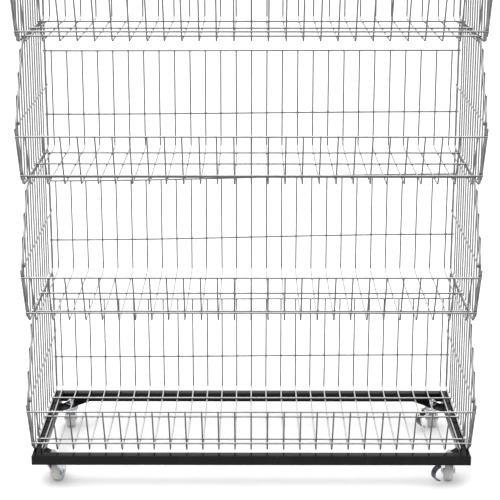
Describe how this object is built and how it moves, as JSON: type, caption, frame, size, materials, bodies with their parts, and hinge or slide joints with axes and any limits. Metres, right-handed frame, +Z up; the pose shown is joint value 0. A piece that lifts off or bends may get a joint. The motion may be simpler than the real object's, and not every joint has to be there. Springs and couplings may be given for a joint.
{
  "type": "wire shelf cart",
  "caption": "Stacked open-front wire baskets on a black square-tube base with swivel casters, for shop display or storage.",
  "frame": {"origin": "on the floor, under the middle of the cart", "axes": "+Z up, the open front of the baskets faces -Y, +X to the right seen from the front"},
  "size_m": [0.904, 0.4122, 1.206],
  "materials": {
    "wire_plating": "bright zinc and chrome plated wire",
    "black_paint": "gloss black powder coat",
    "tip_plastic": "glossy black plastic",
    "caster_zinc": "bright zinc plated pressing",
    "tread": "light grey moulded rubber",
    "wheel_plastic": "light grey plastic",
    "pedal_steel": "dark blued steel",
    "rivet_steel": "plain steel"
  },
  "bodies": {
    "base": {"base_rail_front": "black_paint", "base_rail_back": "black_paint", "base_rail_left": "black_paint", "base_rail_right": "black_paint", "corner_strap_front_left": "black_paint", "corner_strap_front_right": "black_paint", "corner_strap_rear_left": "black_paint", "corner_strap_rear_right": "black_paint", "caster_nuts": "caster_zinc", "caster_washers": "caster_zinc", "caster_front_left_bolt": "caster_zinc", "caster_front_right_bolt": "caster_zinc", "caster_rear_left_bolt": "caster_zinc", "caster_rear_right_bolt": "caster_zinc"},
    "fork_front_left": {"caster_front_left_fork": "caster_zinc", "caster_front_left_axle": "rivet_steel"},
    "wheel_front_left": {"caster_front_left_wheel_core": "wheel_plastic", "caster_front_left_tyre": "tread"},
    "fork_front_right": {"caster_front_right_fork": "caster_zinc", "caster_front_right_axle": "rivet_steel", "caster_front_right_pedal_pin": "rivet_steel"},
    "wheel_front_right": {"caster_front_right_wheel_core": "wheel_plastic", "caster_front_right_tyre": "tread"},
    "pedal_front_right": {"caster_front_right_brake_pedal": "pedal_steel"},
    "fork_rear_left": {"caster_rear_left_fork": "caster_zinc", "caster_rear_left_axle": "rivet_steel"},
    "wheel_rear_left": {"caster_rear_left_wheel_core": "wheel_plastic", "caster_rear_left_tyre": "tread"},
    "fork_rear_right": {"caster_rear_right_fork": "caster_zinc", "caster_rear_right_axle": "rivet_steel", "caster_rear_right_pedal_pin": "rivet_steel"},
    "wheel_rear_right": {"caster_rear_right_wheel_core": "wheel_plastic", "caster_rear_right_tyre": "tread"},
    "pedal_rear_right": {"caster_rear_right_brake_pedal": "pedal_steel"},
    "basket_1": {"basket_1_mesh_wires": "wire_plating", "basket_1_cross_rails": "wire_plating", "basket_1_side_left": "wire_plating", "basket_1_side_right": "wire_plating", "basket_1_tip_balls": "tip_plastic"},
    "basket_2": {"basket_2_mesh_wires": "wire_plating", "basket_2_cross_rails": "wire_plating", "basket_2_side_left": "wire_plating", "basket_2_side_right": "wire_plating", "basket_2_tip_balls": "tip_plastic"},
    "basket_3": {"basket_3_mesh_wires": "wire_plating", "basket_3_cross_rails": "wire_plating", "basket_3_side_left": "wire_plating", "basket_3_side_right": "wire_plating", "basket_3_tip_balls": "tip_plastic"},
    "basket_4": {"basket_4_mesh_wires": "wire_plating", "basket_4_cross_rails": "wire_plating", "basket_4_side_left": "wire_plating", "basket_4_side_right": "wire_plating", "basket_4_tip_balls": "tip_plastic"}
  },
  "joints": [
    {"name": "swivel_front_left", "type": "hinge", "parent": "base", "child": "fork_front_left", "pos_m": [-0.41, -0.12544, 0.053], "axis": [0, 0, 1], "continuous": true},
    {"name": "spin_front_left", "type": "hinge", "parent": "fork_front_left", "child": "wheel_front_left", "pos_m": [-0.40444, -0.10832, 0.02], "axis": [0.9511, -0.309, 0], "continuous": true},
    {"name": "swivel_front_right", "type": "hinge", "parent": "base", "child": "fork_front_right", "pos_m": [0.41, -0.12544, 0.053], "axis": [0, 0, 1], "continuous": true},
    {"name": "spin_front_right", "type": "hinge", "parent": "fork_front_right", "child": "wheel_front_right", "pos_m": [0.41251, -0.10762, 0.02], "axis": [0.9903, -0.1392, 0], "continuous": true},
    {"name": "brake_front_right", "type": "hinge", "parent": "fork_front_right", "child": "pedal_front_right", "pos_m": [0.39129, -0.13498, 0.045], "axis": [-0.454, 0.891, 0], "range_deg": [0, 35]},
    {"name": "swivel_rear_left", "type": "hinge", "parent": "base", "child": "fork_rear_left", "pos_m": [-0.41, 0.15056, 0.053], "axis": [0, 0, 1], "continuous": true},
    {"name": "spin_rear_left", "type": "hinge", "parent": "fork_rear_left", "child": "wheel_rear_left", "pos_m": [-0.41282, 0.16834, 0.02], "axis": [0.9877, 0.1564, 0], "continuous": true},
    {"name": "swivel_rear_right", "type": "hinge", "parent": "base", "child": "fork_rear_right", "pos_m": [0.41, 0.15056, 0.053], "axis": [0, 0, 1], "continuous": true},
    {"name": "spin_rear_right", "type": "hinge", "parent": "fork_rear_right", "child": "wheel_rear_right", "pos_m": [0.41219, 0.16842, 0.02], "axis": [0.9925, -0.1219, 0], "continuous": true},
    {"name": "brake_rear_right", "type": "hinge", "parent": "fork_rear_right", "child": "pedal_rear_right", "pos_m": [0.39146, 0.1407, 0.045], "axis": [-0.4695, 0.8829, 0], "range_deg": [0, 35]},
    {"name": "lift_1", "type": "slide", "parent": "base", "child": "basket_1", "axis": [0, 0, 1], "range_m": [0, 0.2]},
    {"name": "lift_2", "type": "slide", "parent": "basket_1", "child": "basket_2", "axis": [0, 0, 1], "range_m": [0, 0.2]},
    {"name": "lift_3", "type": "slide", "parent": "basket_2", "child": "basket_3", "axis": [0, 0, 1], "range_m": [0, 0.2]},
    {"name": "lift_4", "type": "slide", "parent": "basket_3", "child": "basket_4", "axis": [0, 0, 1], "range_m": [0, 0.2]}
  ]
}
